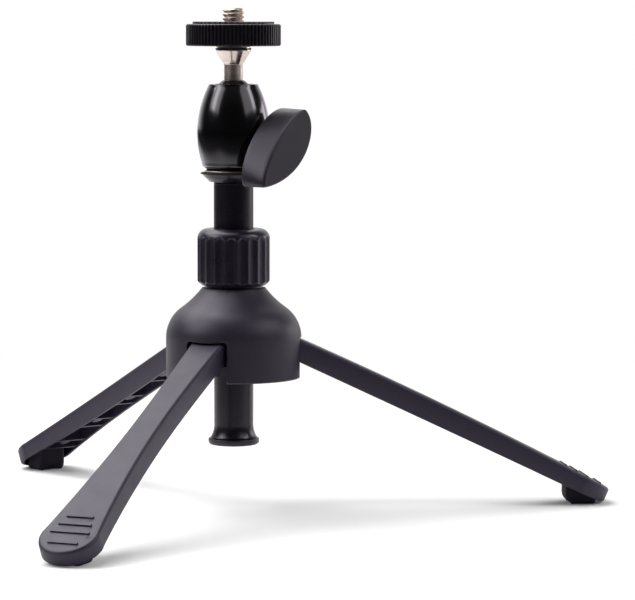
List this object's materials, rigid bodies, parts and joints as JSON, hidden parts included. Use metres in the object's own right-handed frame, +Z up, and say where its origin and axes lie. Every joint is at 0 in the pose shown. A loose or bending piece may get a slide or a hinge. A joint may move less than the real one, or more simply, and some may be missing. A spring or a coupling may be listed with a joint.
{
  "type": "table-top mini tripod",
  "caption": "Mini table-top tripod with folding legs, a sliding column with a twist-lock nut, and a ball head with a clamp knob, a camera screw and a knurled lock disc.",
  "frame": {"origin": "on the column's axis, at the level of the table the feet stand on", "axes": "+Z up along the column and the camera screw; +X along leg 1; +Y to the left of leg 1, towards leg 2"},
  "size_m": [0.1756, 0.2, 0.1486],
  "materials": {
    "hub_polymer": "fine-textured charcoal moulding",
    "core_polymer": "plain moulding, hidden inside the hub",
    "pin_steel": "plain turned steel",
    "leg_polymer": "fine-textured charcoal moulding",
    "pad_rubber": "matt black rubber",
    "sleeve_polymer": "natural acetal",
    "ring_polymer": "acetal",
    "nut_polymer": "satin black moulding",
    "column_satin": "satin black",
    "cap_polymer": "matt black moulding",
    "flange_black": "satin black",
    "washer_fibre": "matt black friction washer",
    "housing_gloss": "gloss black",
    "brass_parts": "turned brass, hidden inside the head",
    "knob_metal": "fine-textured black with a satin sheen",
    "ball_dark": "dark polished",
    "stem_nickel": "polished nickel",
    "disc_black": "satin black"
  },
  "bodies": {
    "hub": {"hub_shell": "hub_polymer", "hub_core": "core_polymer", "hub_screws": "pin_steel", "leg_pin_1": "pin_steel", "leg_pin_2": "pin_steel", "leg_pin_3": "pin_steel"},
    "leg_body_1": {"leg_1": "leg_polymer", "foot_pad_1": "pad_rubber"},
    "leg_body_2": {"leg_2": "leg_polymer", "foot_pad_2": "pad_rubber"},
    "leg_body_3": {"leg_3": "leg_polymer", "foot_pad_3": "pad_rubber"},
    "sleeve": {"collet_sleeve": "sleeve_polymer"},
    "column": {"column_tube": "column_satin", "column_end_cap": "cap_polymer", "column_top_cap": "column_satin", "head_stud": "pin_steel", "head_flange": "flange_black", "pan_washer": "washer_fibre", "ball_housing": "housing_gloss", "housing_plug": "brass_parts"},
    "clamp_ring": {"wedge_ring": "ring_polymer"},
    "nut": {"lock_nut": "nut_polymer"},
    "thrust": {"thrust_tip": "brass_parts"},
    "knob": {"clamp_screw": "pin_steel", "clamp_knob": "knob_metal"},
    "wedge": {"clamp_wedge": "brass_parts"},
    "seat": {"ball_seat": "brass_parts"},
    "ball": {"ball": "ball_dark"},
    "stem": {"ball_stem": "stem_nickel"},
    "washer": {"stem_washer": "washer_fibre"},
    "disc": {"lock_disc": "disc_black", "disc_pad": "pad_rubber"}
  },
  "joints": [
    {"name": "leg_fold_1", "type": "hinge", "parent": "hub", "child": "leg_body_1", "pos_m": [0.0135, 0, 0.05012], "axis": [0, 1, 0], "range_deg": [0, 64.4]},
    {"name": "leg_fold_2", "type": "hinge", "parent": "hub", "child": "leg_body_2", "pos_m": [-0.00675, 0.01169, 0.05012], "axis": [-0.866, -0.5, 0], "range_deg": [0, 64.4]},
    {"name": "leg_fold_3", "type": "hinge", "parent": "hub", "child": "leg_body_3", "pos_m": [-0.00675, -0.01169, 0.05012], "axis": [0.866, -0.5, 0], "range_deg": [0, 64.4]},
    {"name": "column_turn", "type": "hinge", "parent": "hub", "child": "sleeve", "pos_m": [0, 0, 0.06612], "axis": [0, 0, 1], "continuous": true},
    {"name": "column_height", "type": "slide", "parent": "sleeve", "child": "column", "axis": [0, 0, 1], "range_m": [-0.0114, 0.0145]},
    {"name": "nut_travel", "type": "slide", "parent": "hub", "child": "clamp_ring", "axis": [0, 0, 1], "range_m": [0, 0.0015]},
    {"name": "nut_turn", "type": "hinge", "parent": "clamp_ring", "child": "nut", "pos_m": [0, 0, 0.06692], "axis": [0, 0, 1], "range_deg": [0, 360]},
    {"name": "clamp_travel", "type": "slide", "parent": "column", "child": "thrust", "axis": [0.6428, -0.766, 0], "range_m": [0, 0.0008]},
    {"name": "knob_turn", "type": "hinge", "parent": "thrust", "child": "knob", "pos_m": [0, 0, 0.10695], "axis": [0.6428, -0.766, 0], "range_deg": [0, 360]},
    {"name": "wedge_drop", "type": "slide", "parent": "column", "child": "wedge", "axis": [0, 0, -1], "range_m": [0, 0.000801]},
    {"name": "head_pan", "type": "hinge", "parent": "column", "child": "seat", "pos_m": [0, 0, 0.12225], "axis": [0, 0, 1], "continuous": true},
    {"name": "head_tilt", "type": "hinge", "parent": "seat", "child": "ball", "pos_m": [0, 0, 0.12225], "axis": [0, 1, 0], "range_deg": [-29, 29]},
    {"name": "stem_spin", "type": "hinge", "parent": "ball", "child": "stem", "pos_m": [0, 0, 0.12225], "axis": [0, 0, 1], "continuous": true},
    {"name": "disc_rise", "type": "slide", "parent": "stem", "child": "washer", "axis": [0, 0, 1], "range_m": [0, 0.00191]},
    {"name": "disc_turn", "type": "hinge", "parent": "washer", "child": "disc", "pos_m": [0, 0, 0.13745], "axis": [0, 0, 1], "range_deg": [0, 540]}
  ],
  "couplings": [
    {"joint": "nut_turn", "follows": "nut_travel", "rad_per_m": 4188.8},
    {"joint": "knob_turn", "follows": "clamp_travel", "rad_per_m": 7854},
    {"joint": "wedge_drop", "follows": "clamp_travel", "ratio": 1},
    {"joint": "disc_turn", "follows": "disc_rise", "rad_per_m": 4947.4}
  ]
}
